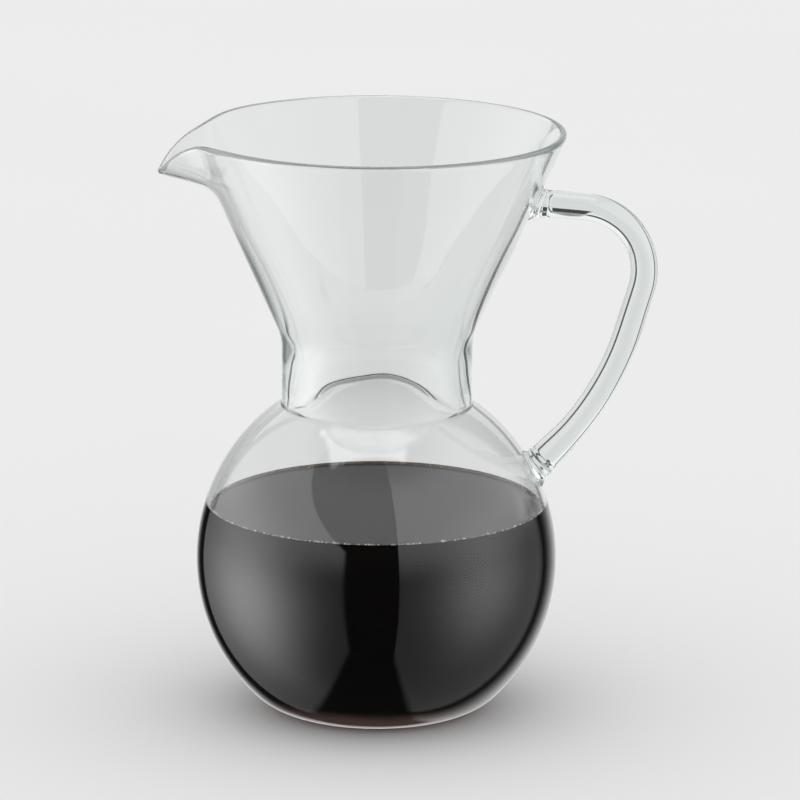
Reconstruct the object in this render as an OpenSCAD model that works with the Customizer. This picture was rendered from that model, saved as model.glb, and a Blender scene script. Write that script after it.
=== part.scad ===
// Hourglass coffee carafe of clear blown glass, holding coffee.
// A round bulb, a straight waist and a conical funnel are one blown wall, with a pour spout folded
// out of its rim. A bent glass rod is fused to it as a handle, with a weld collar at each end.
// The origin is the middle of the standing face and +Z is up. The spout points along -X and the
// handle along +X. Lengths are in millimetres and angles in degrees.

/* [Bulb] */
// Widest outer diameter of the bulb
bulb_d = 130; // [120:1:142]
// Radius of the arc that the side of the bulb follows in section
bulb_arc_r = 69.2; // [65:0.1:75]
// Height of the widest point above the table
belly_z = 55; // [50:0.5:60]
// Radius of the rounded edge between the side and the base
base_edge_r = 22; // [16:0.5:28]
// Thickness of the glass in the side of the bulb
bulb_wall = 2; // [1.4:0.1:3]
// Thickness of the glass around the standing ring
base_wall = 3.4; // [2.4:0.1:5]
// Width of the flat ring that the carafe stands on
standing_ring_w = 5; // [3:0.5:8]
// Height by which the middle of the base is pushed up
push_up = 1.4; // [0.6:0.1:2]

/* [Waist] */
// Outer diameter of the straight waist
waist_d = 68.4; // [62:0.2:74]
// Length of the straight waist
waist_h = 24.3; // [18:0.1:32]
// Thickness of the glass in the waist
waist_wall = 4; // [2.5:0.1:5]

/* [Funnel] */
// Outer diameter of the rim
rim_d = 134.4; // [124:0.2:146]
// Height of the funnel, from the waist to the top of the rim
funnel_h = 75.3; // [66:0.1:86]
// Thickness of the glass in the funnel
funnel_wall = 2.4; // [1.6:0.1:3]
// Diameter of the fire-polished bead along the rim
rim_bead_d = 3.2; // [2.8:0.1:4.4]
// Thickness, measured level, of the ring of thick glass just above the waist
throat_wall = 6; // [4:0.1:7]
// Height of the thickest place above the waist
throat_rise = 13; // [9:0.5:17]
// Height above the waist at which the funnel wall has its own thickness
throat_end_rise = 26; // [20:0.5:34]

/* [Pour spout] */
// Length of wall, down from the rim, that is folded out into the spout
spout_fold = 24.6; // [19:0.2:30]
// Angle by which the wall is folded out in the middle of the spout
spout_bend = 46; // [24:1:58]
// Length of wall, in the middle of its thickness, over which the fold turns
spout_turn_len = 8; // [5:0.2:12]
// Angle around the rim at which the fold has died away to about a third
spout_spread = 8.5; // [6:0.5:12]

/* [Handle] */
// Diameter of the glass rod
rod_d = 9.8; // [8:0.1:12]
// Drop from the top of the rim to where the middle of the rod meets the funnel
upper_weld_drop = 26; // [20:0.5:34]
// Angle above the belly, around the side arc, where the middle of the rod meets the bulb
lower_weld_angle = 28.8; // [24:0.2:34]
// Angle by which the upper arm falls away from the funnel
arm_fall = 5; // [0:0.5:10]
// Radius of the bend at the top, in the middle of the rod
bend_r = 23.2; // [16:0.2:28]
// Angle that the rod turns through in the bend
bend_turn = 101.5; // [97:0.5:105]
// Radius of the long curve back to the bulb, in the middle of the rod
foot_r = 104; // [90:1:118]
// Angle that the rod turns through in the long curve
foot_turn = 27.4; // [24:0.2:31]
// Length of the straight end that runs into the bulb
foot_len = 12.7; // [9:0.1:17]

/* [Handle welds] */
// Diameter of the upper weld at its foot
upper_weld_d = 13.6; // [12.8:0.2:16]
// Diameter of the lower weld at its foot
lower_weld_d = 14; // [12.8:0.2:16]
// Reach of each weld along the rod, from where the middle of the rod meets the glass
weld_len = 4.6; // [3.6:0.1:7]
// Radius of the rounded ridge around the rod at the end of each weld
weld_ridge_r = 0.7; // [0.4:0.1:1.2]

/* [Coffee] */
// Height of the surface of the coffee above the table
coffee_z = 74.7; // [60:0.1:100]
// Clearance between the coffee and the glass around it
coffee_clearance = 0.2; // [0.1:0.05:0.4]

/* [Hidden] */
$fn = 200;

glass_colour = [0.86, 0.92, 0.91, 0.4];
rod_colour = [0.8, 0.88, 0.88, 0.6];
weld_colour = [0.72, 0.82, 0.8, 0.8];
coffee_colour = [0.08, 0.045, 0.03];

half_turn = 180;
quarter_turn = half_turn / 2;
// How far a cut runs past what it cuts
overrun = 1;

// Section of the vessel, as [radius, height] pairs
waist_r = waist_d / 2;
waist_inner_r = waist_r - waist_wall;
// The side arc's centre lies on the far side of the axis when this is negative
arc_centre_r = bulb_d / 2 - bulb_arc_r;
shoulder_z = belly_z + sqrt(pow(bulb_arc_r, 2) - pow(waist_r - arc_centre_r, 2));
waist_top_z = shoulder_z + waist_h;
height = waist_top_z + funnel_h;
waist_top = [waist_r, waist_top_z];
bead_at = [(rim_d - rim_bead_d) / 2, height - rim_bead_d / 2];
funnel_run = bead_at - waist_top;
// Slope of the funnel wall from the vertical; the middle of the wall runs into the middle of the bead
flare = atan2(funnel_run.x, funnel_run.y) + asin(funnel_wall / 2 / norm(funnel_run));
funnel_along = [sin(flare), cos(flare)];
funnel_outward = [cos(flare), -sin(flare)];

// Base
inner_edge_r = base_edge_r - bulb_wall;
// The rounded edge stands this much proud of the side arc, so that the two cross cleanly
edge_lap = 0.05;
standing_r = edge_centre(bulb_arc_r, base_edge_r, 0).x;
push_up_r = standing_r - standing_ring_w;
push_up_dome_r = (pow(push_up_r, 2) + pow(push_up, 2)) / (2 * push_up);

// Top ring: the top of the funnel, with its bead and the folded spout, is let into the wall below it
// The fold dies out at this many times its spread, on each side of its middle
spout_sector_share = 3;
spout_sector = spout_sector_share * spout_spread;
// Steps around the spout, around the rest of the rim, along the fold and around the bead
spout_steps = 32;
rim_steps = 56;
fold_steps = 5;
step_middle_share = 0.5;
bead_steps = 8;
// The ring is this much thinner on each face, so that it enters the wall below it cleanly
ring_inset = 0.12;
// How far below the fold the wall below ends, and how far the ring then runs on into it
ring_root = 10.6;
ring_lap = 1.5;
fold_at = bead_at - spout_fold * funnel_along;
ring_z = fold_at.y - ring_root * funnel_along.y;
ring_half_wall = funnel_wall / 2 - ring_inset;
ring_bead_r = rim_bead_d / 2 - ring_inset;
// Angles around the rim, from the middle of the spout, at which the ring has a section
ring_angles = concat(
    [for (i = [0 : spout_steps - 1]) spout_sector * (2 * i / spout_steps - 1)],
    [for (i = [0 : rim_steps - 1]) spout_sector + 2 * (half_turn - spout_sector) * i / rim_steps]
);

// Handle: its two ends lie on the vessel, and the straight lengths between the curves close the gap
// The straight lengths are this much thinner all round, and run this far into the curves
rod_step = 0.05;
rod_lap = 1;
straight_r = rod_d / 2 - rod_step;
upper_weld_at = [funnel_r(height - upper_weld_drop), height - upper_weld_drop];
lower_weld_at = [
    arc_centre_r + bulb_arc_r * cos(lower_weld_angle),
    belly_z + bulb_arc_r * sin(lower_weld_angle)
];
arm_heading = -arm_fall;
leg_heading = arm_heading - bend_turn;
foot_heading = leg_heading - foot_turn;
straights = lower_weld_at - upper_weld_at - turn_step(arm_heading, bend_r, bend_turn)
    - turn_step(leg_heading, foot_r, foot_turn) - foot_len * along(foot_heading);
arm_len = cross_2d(straights, along(leg_heading)) / cross_2d(along(arm_heading), along(leg_heading));
leg_len = cross_2d(along(arm_heading), straights) / cross_2d(along(arm_heading), along(leg_heading));
bend_at = upper_weld_at + arm_len * along(arm_heading);
leg_at = bend_at + turn_step(arm_heading, bend_r, bend_turn);
curve_at = leg_at + leg_len * along(leg_heading);
foot_at = curve_at + turn_step(leg_heading, foot_r, foot_turn);
// Depth to which the rod and its welds run on inside the vessel before they are cut to its surface
weld_root = rod_d;

// Direction of a heading, and the cross product of two directions
function along(heading) = [cos(heading), sin(heading)];
function cross_2d(a, b) = a.x * b.y - a.y * b.x;

// Outer radius of the funnel at a height
function funnel_r(z) = waist_r + (z - waist_top_z) * tan(flare);

// Centre of the rounded edge between a side arc and a floor, as [radius, height]
function edge_centre(arc_r, edge_r, floor_z) = [
    arc_centre_r + sqrt(pow(arc_r - edge_r + edge_lap, 2) - pow(belly_z - floor_z - edge_r, 2)),
    floor_z + edge_r
];

// Centre of a turn to the right that starts at the origin, and the step from its start to its end
function turn_centre(heading, turn_r) = turn_r * along(heading - quarter_turn);
function turn_step(heading, turn_r, turn) =
    turn_centre(heading, turn_r) + turn_r * along(heading + quarter_turn - turn);

// Angle by which the wall is folded out at an angle around the rim from the middle of the spout
function fold_bend(around) = spout_bend * exp(-pow(around / spout_spread, 2));

// Middle line of the folded wall, from its root to the bead, as [radius, height, slope] triples
function wall_step(length, slope) = length * [sin(slope), cos(slope)];
function fold_point(bend, i) =
    i == 0
        ? fold_at
        : fold_point(bend, i - 1)
            + wall_step(spout_turn_len / fold_steps, flare + bend * (i - step_middle_share) / fold_steps);
function fold_tip(bend) =
    fold_point(bend, fold_steps) + wall_step(spout_fold - spout_turn_len, flare + bend);
function lip_place(at, slope) = [at.x, at.y, slope];
function lip_line(bend) = concat(
    [lip_place(fold_at - wall_step(ring_root + ring_lap, flare), flare)],
    [for (i = [0 : fold_steps]) lip_place(fold_point(bend, i), flare + bend * i / fold_steps)],
    [lip_place(fold_tip(bend), flare + bend)]
);

// A place on one face of the folded wall; side is 1 for the outer face and -1 for the inner face
function lip_face(place, side) = [
    place.x + side * ring_half_wall * cos(place.z),
    place.y - side * ring_half_wall * sin(place.z)
];

// Rounded edge of the folded wall, from its outer face round to its inner face
bead_start = half_turn - asin(ring_half_wall / ring_bead_r);
function lip_bead(place) = [
    for (i = [0 : bead_steps])
        let (turn = place.z + bead_start * (1 - 2 * i / bead_steps))
            [place.x + ring_bead_r * sin(turn), place.y + ring_bead_r * cos(turn)]
];

// Whole section of the folded wall at an angle around the rim, as [radius, height] pairs
function lip_section(around) =
    let (line = lip_line(fold_bend(around)), last = len(line) - 1)
        concat(
            [for (i = [0 : last - 1]) lip_face(line[i], 1)],
            lip_bead(line[last]),
            [for (i = [last - 1 : -1 : 0]) lip_face(line[i], -1)]
        );

// Half-section of a bulb up to a height: its side arc, its rounded edge and its floor
module bulb_section(arc_r, edge_r, floor_z, top_z) {
    edge_at = edge_centre(arc_r, edge_r, floor_z);
    touch_z = belly_z + (edge_at.y - belly_z) * arc_r / (arc_r - edge_r);
    intersection() {
        translate([arc_centre_r, belly_z])
            circle(r = arc_r);
        translate([0, touch_z])
            square([bulb_d, top_z - touch_z]);
    }
    // On a narrow bulb the rounded edge would reach across the axis, so it is cut there
    intersection() {
        translate(edge_at)
            circle(r = edge_r);
        translate([0, floor_z - overrun])
            square([bulb_d, 2 * (edge_r + overrun)]);
    }
    translate([0, floor_z])
        square([edge_at.x, edge_r]);
}

// Half-section of the whole vessel as if it were solid glass, without the bead
module outer_section() {
    outer_end = bead_at + funnel_wall / 2 * funnel_outward;
    inner_end = bead_at - funnel_wall / 2 * funnel_outward;
    bulb_section(bulb_arc_r, base_edge_r, 0, waist_top_z);
    polygon([[0, belly_z], [waist_r, belly_z], waist_top, outer_end, inner_end, [0, inner_end.y]]);
}

// Half-section of the hollow
module inner_section() {
    throat_z = waist_top_z + throat_rise;
    thin_z = waist_top_z + throat_end_rise;
    inner_end = bead_at - funnel_wall / 2 * funnel_outward + overrun * funnel_along;
    bulb_section(bulb_arc_r - bulb_wall, inner_edge_r, base_wall, waist_top_z);
    polygon([
        [0, belly_z],
        [waist_inner_r, belly_z],
        [waist_inner_r, waist_top_z],
        [funnel_r(throat_z) - throat_wall, throat_z],
        [funnel_r(thin_z) - funnel_wall / cos(flare), thin_z],
        inner_end,
        [0, inner_end.y]
    ]);
}

// Half-section of the glass wall below the top ring, with its pushed-up base
module wall_section() {
    difference() {
        outer_section();
        inner_section();
        translate([0, push_up - push_up_dome_r])
            circle(r = push_up_dome_r);
        translate([0, ring_z])
            square([rim_d, height]);
    }
}

// The top ring, one section after another around the rim
module top_ring() {
    sections = [
        for (around = ring_angles)
            [for (p = lip_section(around)) [-p.x * cos(around), -p.x * sin(around), p.y]]
    ];
    rounds = len(sections);
    count = len(sections[0]);
    polyhedron(
        points = [for (section = sections) each section],
        faces = [
            for (i = [0 : rounds - 1], j = [0 : count - 1])
                let (
                    a = i * count + j,
                    b = i * count + (j + 1) % count,
                    c = (i + 1) % rounds * count + j,
                    d = (i + 1) % rounds * count + (j + 1) % count
                )
                    each [[a, d, c], [a, b, d]]
        ]
    );
}

// The whole space inside the outer surface of the vessel, which the handle and its welds are cut to
module vessel_space() {
    rotate_extrude()
        outer_section();
}

// A straight length of rod on a line through a place in the plane of the handle, along a heading
module rod_straight(at, heading, from, to) {
    translate([at.x, 0, at.y])
        rotate([0, quarter_turn - heading, 0])
            translate([0, 0, from])
                cylinder(r = straight_r, h = to - from);
}

// A length of rod that turns to the right
module rod_turn(at, heading, turn_r, turn) {
    centre = at + turn_centre(heading, turn_r);
    translate([centre.x, 0, centre.y])
        rotate([quarter_turn, 0, 0])
            rotate([0, 0, heading + quarter_turn - turn])
                rotate_extrude(angle = turn)
                    translate([turn_r, 0])
                        circle(d = rod_d);
}

// A weld collar around the rod, flaring to its foot and cut to the surface of the vessel
module weld_collar(at, heading, foot_d) {
    flare_r = foot_d / 2 - straight_r - weld_ridge_r / 2;
    difference() {
        translate([at.x, 0, at.y])
            rotate([0, quarter_turn - heading, 0])
                rotate_extrude()
                    difference() {
                        union() {
                            difference() {
                                translate([0, -weld_root])
                                    square([foot_d / 2, weld_root + weld_len]);
                                translate([foot_d / 2, weld_len])
                                    circle(r = flare_r);
                            }
                            translate([straight_r, weld_len])
                                circle(r = weld_ridge_r);
                        }
                        translate([0, -weld_root - overrun])
                            square([straight_r, weld_root + weld_len + weld_ridge_r + 2 * overrun]);
                    }
        vessel_space();
    }
}

module vessel() {
    color(glass_colour) {
        rotate_extrude()
            wall_section();
        top_ring();
    }
}

module handle() {
    color(rod_colour)
        difference() {
            union() {
                rod_straight(upper_weld_at, arm_heading, -weld_root, arm_len + rod_lap);
                rod_turn(bend_at, arm_heading, bend_r, bend_turn);
                rod_straight(leg_at, leg_heading, -rod_lap, leg_len + rod_lap);
                rod_turn(curve_at, leg_heading, foot_r, foot_turn);
                rod_straight(foot_at, foot_heading, -rod_lap, foot_len + weld_root);
            }
            vessel_space();
        }
}

module upper_weld() {
    color(weld_colour)
        weld_collar(upper_weld_at, arm_heading, upper_weld_d);
}

module lower_weld() {
    color(weld_colour)
        weld_collar(lower_weld_at, foot_heading + half_turn, lower_weld_d);
}

module coffee() {
    color(coffee_colour)
        rotate_extrude()
            bulb_section(
                bulb_arc_r - bulb_wall - coffee_clearance,
                inner_edge_r - coffee_clearance,
                base_wall + coffee_clearance,
                coffee_z
            );
}

vessel();
handle();
upper_weld();
lower_weld();
coffee();
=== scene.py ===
"""Looks of the coffee carafe: clear blown glass with a fused rod handle, and the coffee in its bulb."""
from __future__ import annotations

import logging
import math
import random
from dataclasses import dataclass
from enum import Enum
from typing import Iterable

import bmesh
import bpy
from mathutils import Matrix, Vector


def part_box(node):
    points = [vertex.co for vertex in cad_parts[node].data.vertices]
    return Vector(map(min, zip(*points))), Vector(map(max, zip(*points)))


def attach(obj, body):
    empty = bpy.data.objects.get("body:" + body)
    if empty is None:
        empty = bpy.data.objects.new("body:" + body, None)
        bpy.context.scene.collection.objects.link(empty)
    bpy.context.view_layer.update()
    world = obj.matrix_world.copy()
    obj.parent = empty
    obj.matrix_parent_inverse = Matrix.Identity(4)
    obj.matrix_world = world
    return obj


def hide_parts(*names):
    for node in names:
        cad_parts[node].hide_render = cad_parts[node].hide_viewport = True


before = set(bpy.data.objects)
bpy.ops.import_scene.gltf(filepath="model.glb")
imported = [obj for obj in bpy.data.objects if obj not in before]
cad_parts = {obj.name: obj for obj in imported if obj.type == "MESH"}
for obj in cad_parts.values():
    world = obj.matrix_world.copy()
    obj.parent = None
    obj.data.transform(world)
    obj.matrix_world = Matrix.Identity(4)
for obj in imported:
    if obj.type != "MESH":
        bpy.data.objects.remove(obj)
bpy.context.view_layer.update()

log = logging.getLogger("carafe")

BODY = "root"
MM = 0.001
FULL_TURN = 2 * math.pi
SECTORS = 8
MERGE_DISTANCE = 1e-6
NOISE_RANGE = (0.3, 0.7)
WHITE = (1.0, 1.0, 1.0, 1.0)
Point = tuple[float, float]
Colour = tuple[float, float, float, float]
Waves = tuple[tuple[float, float, float], ...]
Material = bpy.types.Material
Socket = bpy.types.NodeSocket


class Slot(Enum):
    """Names of the record's two material slots, for the glass and for the coffee."""

    GLASS = "clear_glass"
    COFFEE = "coffee"


def smooth_step(low: float, high: float, value: float) -> float:
    """Ease from 0 at low to 1 at high.

    Args:
        low: Value at and below which the result is 0.
        high: Value at and above which the result is 1.
        value: Value to ease.

    Returns:
        The eased share, from 0 to 1.
    """
    share = min(max((value - low) / (high - low), 0.0), 1.0)
    return share * share * (3 - 2 * share)


def arc_points(centre: Point, radius: float, start: float, end: float, step: float) -> list[Point]:
    """Place points along an arc.

    Args:
        centre: Centre of the arc.
        radius: Radius of the arc.
        start: Angle of its first point, in radians.
        end: Angle of its last point, in radians.
        step: Longest angle between neighbours, in radians.

    Returns:
        The points, both ends among them.
    """
    count = max(2, math.ceil(abs(end - start) / step))
    angles = [start + (end - start) * i / count for i in range(count + 1)]
    return [(centre[0] + radius * math.cos(a), centre[1] + radius * math.sin(a)) for a in angles]


def line_points(start: Point, end: Point, step: float) -> list[Point]:
    """Place points along a straight line.

    Args:
        start: First point.
        end: Last point.
        step: Longest distance between neighbours.

    Returns:
        The points, both ends among them.
    """
    count = max(1, math.ceil(math.dist(start, end) / step))
    return [
        (start[0] + (end[0] - start[0]) * i / count, start[1] + (end[1] - start[1]) * i / count)
        for i in range(count + 1)
    ]


def round_corner(before: list[Point], after: list[Point], cut: float, steps: int = 8) -> list[Point]:
    """Join two lines that end and start at the same corner, and round that corner.

    Args:
        before: Line that ends at the corner.
        after: Line that starts at the corner.
        cut: How far from the corner the rounding starts.
        steps: Number of steps in the rounding.

    Returns:
        The joined line.
    """
    corner = before[-1]
    head = [p for p in before if math.dist(p, corner) > cut]
    tail = [p for p in after if math.dist(p, corner) > cut]
    enter, leave = Vector(before[-2]) - Vector(corner), Vector(after[1]) - Vector(corner)
    start, end = Vector(corner) + enter.normalized() * cut, Vector(corner) + leave.normalized() * cut
    middle = Vector(corner)
    bend = []
    for i in range(steps + 1):
        t = i / steps
        bend.append(tuple(start * (1 - t) ** 2 + middle * 2 * t * (1 - t) + end * t**2))
    return head + bend + tail


def new_object(name: str, bm: bmesh.types.BMesh, materials: Iterable[Material]) -> bpy.types.Object:
    """Turn a finished bmesh into a smooth-shaded object at the origin.

    Args:
        name: Name of the object.
        bm: The mesh, in the shared frame; it is freed here.
        materials: Materials for the object's slots, in order.

    Returns:
        The new object, linked to the scene.
    """
    mesh = bpy.data.meshes.new(name)
    bm.to_mesh(mesh)
    bm.free()
    mesh.shade_smooth()
    for material in materials:
        mesh.materials.append(material)
    piece = bpy.data.objects.new(name, mesh)
    bpy.context.scene.collection.objects.link(piece)
    return piece


def lathe(outline: list[Point], steps: int) -> bmesh.types.BMesh:
    """Spin an outline about the Z axis into an outward-facing shell.

    Args:
        outline: Radius and height of each point; an end off the axis leaves the shell open there.
        steps: Number of steps around the axis.

    Returns:
        The shell, with its seam and poles merged.
    """
    sector = bmesh.new()
    points = [sector.verts.new((r, 0.0, z)) for r, z in outline]
    edges = [sector.edges.new(pair) for pair in zip(points, points[1:])]
    angle = FULL_TURN / SECTORS
    bmesh.ops.spin(
        sector, geom=points + edges, cent=(0, 0, 0), axis=(0, 0, 1), angle=angle, steps=steps // SECTORS
    )
    part = bpy.data.meshes.new("sector")
    sector.to_mesh(part)
    sector.free()
    bm = bmesh.new()
    for _ in range(SECTORS):
        bm.from_mesh(part)
        part.transform(Matrix.Rotation(angle, 4, "Z"))
    bpy.data.meshes.remove(part)
    bmesh.ops.remove_doubles(bm, verts=bm.verts, dist=MERGE_DISTANCE)
    bmesh.ops.dissolve_degenerate(bm, edges=bm.edges, dist=MERGE_DISTANCE)
    bmesh.ops.recalc_face_normals(bm, faces=bm.faces)
    return bm


class Shader:
    """A material or world whose nodes are added by plain calls."""

    def __init__(self, tree: bpy.types.NodeTree) -> None:
        """Take over an empty node tree."""
        self.tree = tree
        tree.nodes.clear()

    def add(self, kind: str, **sockets: object) -> bpy.types.Node:
        """Add a node and fill its inputs.

        Args:
            kind: Node type, without its ShaderNode prefix.
            **sockets: Node properties, or inputs by their name with underscores for spaces; an input
                takes a value, or an output to link from.

        Returns:
            The new node.
        """
        node = self.tree.nodes.new("ShaderNode" + kind)
        for name, value in sockets.items():
            if name in node.bl_rna.properties:
                setattr(node, name, value)
        for name, value in sockets.items():
            if name not in node.bl_rna.properties:
                self.fill(node.inputs[name.replace("_", " ")], value)
        return node

    def fill(self, socket: Socket, value: object) -> None:
        """Link an output to an input, or set the input's value."""
        if isinstance(value, Socket):
            self.tree.links.new(value, socket)
        else:
            socket.default_value = value

    def math(self, operation: str, *given: object) -> Socket:
        """Add a Math node, fill as many of its inputs as are given, and give its result."""
        node = self.add("Math", operation=operation)
        for socket, value in zip(node.inputs, given):
            self.fill(socket, value)
        return node.outputs[0]

    def ease(self, value: object, low: float, high: float, start: float = 0.0, end: float = 1.0) -> Socket:
        """Ease a value from start at low to end at high."""
        node = self.add("MapRange", interpolation_type="SMOOTHSTEP", clamp=True)
        ends = {"Value": value, "From Min": low, "From Max": high, "To Min": start, "To Max": end}
        for name, given in ends.items():
            self.fill(node.inputs[name], given)
        return node.outputs[0]

    def ease_angle(self, angle: object, edges: Point, start: float = 0.0, end: float = 1.0) -> Socket:
        """Ease an angle from start at one edge to end at the other, with both edges in degrees."""
        low, high = map(math.radians, edges)
        return self.ease(angle, low, high, start, end)

    def blend(self, share: object, a: object, b: object) -> Socket:
        """Blend two numbers by a share."""
        node = self.add("Mix", data_type="FLOAT")
        for socket, value in zip(node.inputs[0:1] + node.inputs[2:4], (share, a, b)):
            self.fill(socket, value)
        return node.outputs[0]

    def mix(self, share: object, a: object, b: object) -> Socket:
        """Mix two colours by a share."""
        node = self.add("Mix", data_type="RGBA")
        self.fill(node.inputs[0], share)
        self.fill(node.inputs[6], a)
        self.fill(node.inputs[7], b)
        return node.outputs[2]

    def place(self) -> Socket:
        """Give the object coordinates."""
        return self.add("TexCoord").outputs["Object"]

    def noise(self, place: Socket, scale: object, detail: float, roughness: float = 0.5) -> Socket:
        """Add a noise texture and give its value."""
        texture = self.add("TexNoise", Vector=place, Scale=scale, Detail=detail, Roughness=roughness)
        return texture.outputs[0]

    def show(self, surface: bpy.types.Node) -> bpy.types.Node:
        """Send a surface to the material's output node, and give that node."""
        out = self.add("OutputMaterial")
        self.fill(out.inputs["Surface"], surface.outputs[0])
        return out


def new_material(name: str) -> tuple[Material, Shader]:
    """Make a material and the shader that fills it."""
    made = bpy.data.materials.new(name)
    made.use_nodes = True
    return made, Shader(made.node_tree)


def blown_surface_group() -> bpy.types.NodeTree:
    """Make the node group for hand-worked glass: slow waves in the surface and faint wiping marks.

    Returns:
        The group, with a Height and a Smear output.
    """
    stretch = (1.0, 1.0, 0.55)
    smear_scale = 38.0
    smear_range = (0.5, 0.8)
    group = bpy.data.node_groups.new("Blown surface", "ShaderNodeTree")
    sockets = {"Wave size": "INPUT", "Wave height": "INPUT", "Height": "OUTPUT", "Smear": "OUTPUT"}
    for name, way in sockets.items():
        group.interface.new_socket(name, in_out=way, socket_type="NodeSocketFloat")
    shader = Shader(group)
    given = group.nodes.new("NodeGroupInput")
    stretched = shader.add("Mapping", Vector=shader.place(), Scale=stretch).outputs[0]
    scale = shader.math("DIVIDE", 1.0, given.outputs["Wave size"])
    waves = shader.noise(stretched, scale, detail=1.0, roughness=0.4)
    height = shader.math("MULTIPLY", waves, given.outputs["Wave height"])
    smear = shader.noise(stretched, smear_scale, detail=3.0, roughness=0.55)
    out = group.nodes.new("NodeGroupOutput")
    shader.fill(out.inputs["Height"], height)
    shader.fill(out.inputs["Smear"], shader.ease(smear, *smear_range))
    return group


@dataclass(frozen=True)
class GlassFinish:
    """Clear glass, faintly green in its depth, with the slow waves of hand work."""

    name: str
    wave_size: float
    wave_height: float
    green: Colour = (0.66, 0.93, 0.86, 1.0)
    depth_of_green: float = 16.0
    ior: float = 1.47
    caught_light: Colour = (0.16, 0.158, 0.158, 1.0)
    caught_after: float = 3.0
    smeared: Colour = (0.975, 0.985, 0.982, 1.0)
    smear_roughness: float = 0.012

    def material(self, surface: bpy.types.NodeTree) -> Material:
        """Build the material.

        Light that is caught in the wall leaves it after more inner reflections than are followed,
        so a ray that is reflected too often sees a weak grey light here and not black.

        Args:
            surface: The blown surface node group.

        Returns:
            The material.
        """
        made, shader = new_material(self.name)
        blown = shader.add(
            "Group", node_tree=surface, Wave_size=self.wave_size, Wave_height=self.wave_height
        )
        bump = shader.add("Bump", Height=blown.outputs["Height"], Strength=1.0, Distance=1.0)
        tint = shader.mix(blown.outputs["Smear"], WHITE, self.smeared)
        rough = shader.ease(blown.outputs["Smear"], 0.0, 1.0, 0.0, self.smear_roughness)
        bounces = shader.add("LightPath").outputs["Glossy Depth"]
        caught = shader.ease(bounces, self.caught_after, self.caught_after + 1.0)
        glass = shader.add(
            "BsdfPrincipled",
            Base_Color=tint,
            Roughness=rough,
            IOR=self.ior,
            Transmission_Weight=1.0,
            Emission_Color=self.caught_light,
            Emission_Strength=caught,
            Normal=bump.outputs[0],
        )
        depth = shader.add("VolumeAbsorption", Color=self.green, Density=self.depth_of_green)
        shader.fill(shader.show(glass).inputs["Volume"], depth.outputs[0])
        return made


@dataclass(frozen=True)
class CoffeeBodyFinish:
    """Coffee behind glass: near black, and reddish brown where the layer at the base is thin."""

    name: str = "coffee_behind_glass"
    dark: Colour = (0.0035, 0.0026, 0.0024, 1.0)
    brown: Colour = (0.17, 0.105, 0.092, 1.0)
    thin_below: float = 6 * MM
    dark_above: float = 12 * MM
    ior: float = 1.08
    drift_scale: float = 55.0
    drift_height: float = 1.6 * MM
    roughness: Point = (0.12, 0.2)

    def material(self) -> Material:
        """Build the material."""
        made, shader = new_material(self.name)
        place = shader.place()
        height = shader.add("SeparateXYZ", Vector=place).outputs["Z"]
        drift = shader.noise(place, self.drift_scale, detail=2.0)
        uneven = shader.math("MULTIPLY_ADD", drift, self.drift_height, height)
        thin = shader.ease(uneven, self.thin_below, self.dark_above, 1.0, 0.0)
        colour = shader.mix(thin, self.dark, self.brown)
        rough = shader.ease(drift, *NOISE_RANGE, *self.roughness)
        shader.show(shader.add("BsdfPrincipled", Base_Color=colour, Roughness=rough, IOR=self.ior))
        return made


@dataclass(frozen=True)
class CoffeeSurfaceFinish:
    """The still top of the coffee, with a brown edge where it climbs the glass."""

    name: str = "coffee_surface"
    dark: Colour = (0.028, 0.025, 0.024, 1.0)
    edge: Colour = (0.10, 0.052, 0.020, 1.0)
    level: float = 0.0
    climb: float = 1.0 * MM
    ior: float = 1.34
    edge_start: float = 0.35 * MM
    edge_soft: float = 0.4 * MM
    drift_scale: float = 120.0
    drift_height: float = 0.5 * MM
    roughness: Point = (0.02, 0.035)

    def material(self) -> Material:
        """Build the material."""
        made, shader = new_material(self.name)
        place = shader.place()
        height = shader.add("SeparateXYZ", Vector=place).outputs["Z"]
        drift = shader.noise(place, self.drift_scale, detail=3.0)
        uneven = shader.math("MULTIPLY_ADD", drift, self.drift_height, height)
        edge_end = self.level + self.climb + self.edge_soft
        climbed = shader.ease(uneven, self.level + self.edge_start, edge_end)
        colour = shader.mix(climbed, self.dark, self.edge)
        rough = shader.ease(drift, *NOISE_RANGE, *self.roughness)
        shader.show(shader.add("BsdfPrincipled", Base_Color=colour, Roughness=rough, IOR=self.ior))
        return made


@dataclass(frozen=True)
class FoamFinish:
    """Thin shiny bubbles, from nearly clear to coffee brown."""

    name: str
    pale: Colour
    brown: Colour
    spot_scale: float = 420.0
    spot_range: Point = (0.35, 0.65)
    roughness: Point = (0.05, 0.2)
    ior: float = 1.33

    def material(self) -> Material:
        """Build the material."""
        made, shader = new_material(self.name)
        spots = shader.noise(shader.place(), self.spot_scale, detail=2.0)
        colour = shader.mix(shader.ease(spots, *self.spot_range), self.pale, self.brown)
        rough = shader.ease(spots, *NOISE_RANGE, *self.roughness)
        shader.show(shader.add("BsdfPrincipled", Base_Color=colour, Roughness=rough, IOR=self.ior))
        return made


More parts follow.
